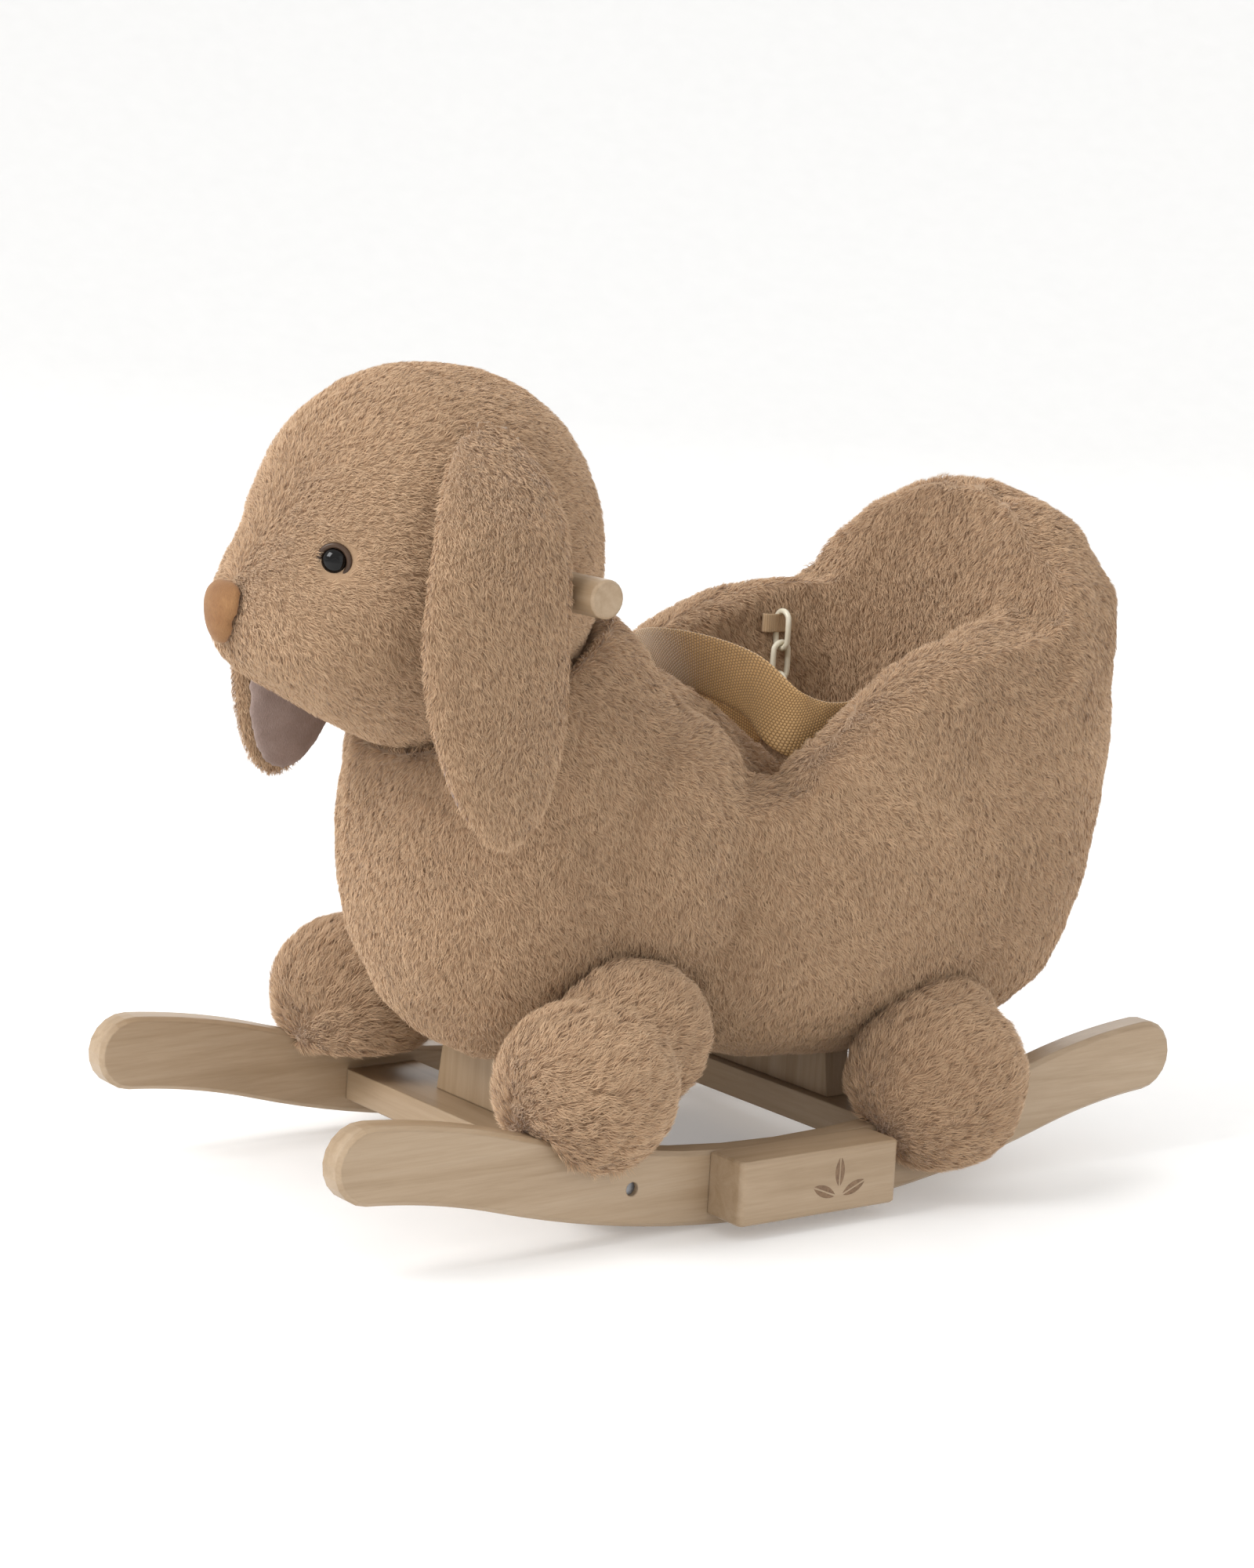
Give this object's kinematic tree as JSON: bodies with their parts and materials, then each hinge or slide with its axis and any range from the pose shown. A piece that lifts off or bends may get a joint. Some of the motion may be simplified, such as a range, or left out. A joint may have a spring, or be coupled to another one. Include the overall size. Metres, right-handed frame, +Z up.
{
  "type": "plush bunny rocker",
  "caption": "Rocking toy: a stuffed lop-eared rabbit seat with side walls, backrest and lap belt on a wooden frame with curved rails.",
  "frame": {"origin": "on the floor, below the middle of the rails", "axes": "+Z up; the animal looks along -Y; its left side is +X; the rails run along Y"},
  "size_m": [0.388, 0.6199, 0.486],
  "materials": {
    "beech": "clear satin lacquer",
    "plywood": "sanded",
    "steel": "zinc plated",
    "plush": "short dense fur pile",
    "ear_velvet": "short velvet",
    "nose_velour": "velour",
    "eye_gloss": "polished",
    "dark_plastic": "matte",
    "ribbon": "ribbed ribbon",
    "webbing": "woven webbing with a slight sheen",
    "ivory_plastic": "moulded"
  },
  "bodies": {
    "root": {"crossbar_front": "beech", "crossbar_rear": "beech", "post_front": "beech", "post_rear": "beech", "rail_left": "beech", "rail_right": "beech", "footrest_left": "beech", "footrest_right": "beech", "handle_dowel": "beech", "seat_base_board": "plywood", "neck_board": "plywood", "back_board": "plywood", "side_board_left": "plywood", "side_board_right": "plywood", "rail_bolt_front_left": "steel", "rail_bolt_rear_left": "steel", "rail_bolt_front_right": "steel", "rail_bolt_rear_right": "steel", "footrest_screw_front_left": "steel", "footrest_screw_rear_left": "steel", "footrest_screw_front_right": "steel", "footrest_screw_rear_right": "steel", "torso": "plush", "backrest": "plush", "head": "plush", "side_wall_left": "plush", "side_wall_right": "plush", "paw_front_left": "plush", "paw_rear_left": "plush", "paw_front_right": "plush", "paw_rear_right": "plush", "nose": "nose_velour", "eye_left": "eye_gloss", "eye_right": "eye_gloss", "eye_rim_left": "dark_plastic", "eye_rim_right": "dark_plastic", "eye_washer_left": "dark_plastic", "eye_washer_right": "dark_plastic", "seam_tab_left": "ribbon", "seam_tab_right": "ribbon"},
    "ear_left": {"ear_left": "plush", "ear_lining_left": "ear_velvet"},
    "ear_right": {"ear_right": "plush", "ear_lining_right": "ear_velvet"},
    "chain_left": {"chain_link_left_1": "ivory_plastic", "chain_link_left_2": "ivory_plastic", "chain_link_left_3": "ivory_plastic"},
    "chain_right": {"chain_link_right_1": "ivory_plastic", "chain_link_right_2": "ivory_plastic", "chain_link_right_3": "ivory_plastic"},
    "belt": {"belt_strap": "webbing", "strap_tab_left": "ribbon", "strap_tab_right": "ribbon"}
  },
  "joints": [
    {"name": "ear_left_lift", "type": "hinge", "parent": "root", "child": "ear_left", "pos_m": [0.06, -0.19, 0.462], "axis": [0, -1, 0], "range_deg": [0, 75]},
    {"name": "ear_right_lift", "type": "hinge", "parent": "root", "child": "ear_right", "pos_m": [-0.06, -0.19, 0.462], "axis": [0, 1, 0], "range_deg": [0, 75]},
    {"name": "chain_right_swing", "type": "hinge", "parent": "root", "child": "chain_right", "pos_m": [-0.084, 0.155, 0.322], "axis": [-1, 0, 0], "range_deg": [0, 30]},
    {"name": "chain_left_swing", "type": "hinge", "parent": "root", "child": "chain_left", "pos_m": [0.084, 0.155, 0.322], "axis": [-1, 0, 0], "range_deg": [0, 30]},
    {"name": "belt_lift", "type": "hinge", "parent": "chain_right", "child": "belt", "pos_m": [-0.084, 0.155, 0.257], "axis": [-0.9505, 0.2817, -0.1314], "range_deg": [0, 15]}
  ],
  "couplings": [
    {"joint": "chain_left_swing", "follows": "chain_right_swing", "ratio": 1}
  ]
}
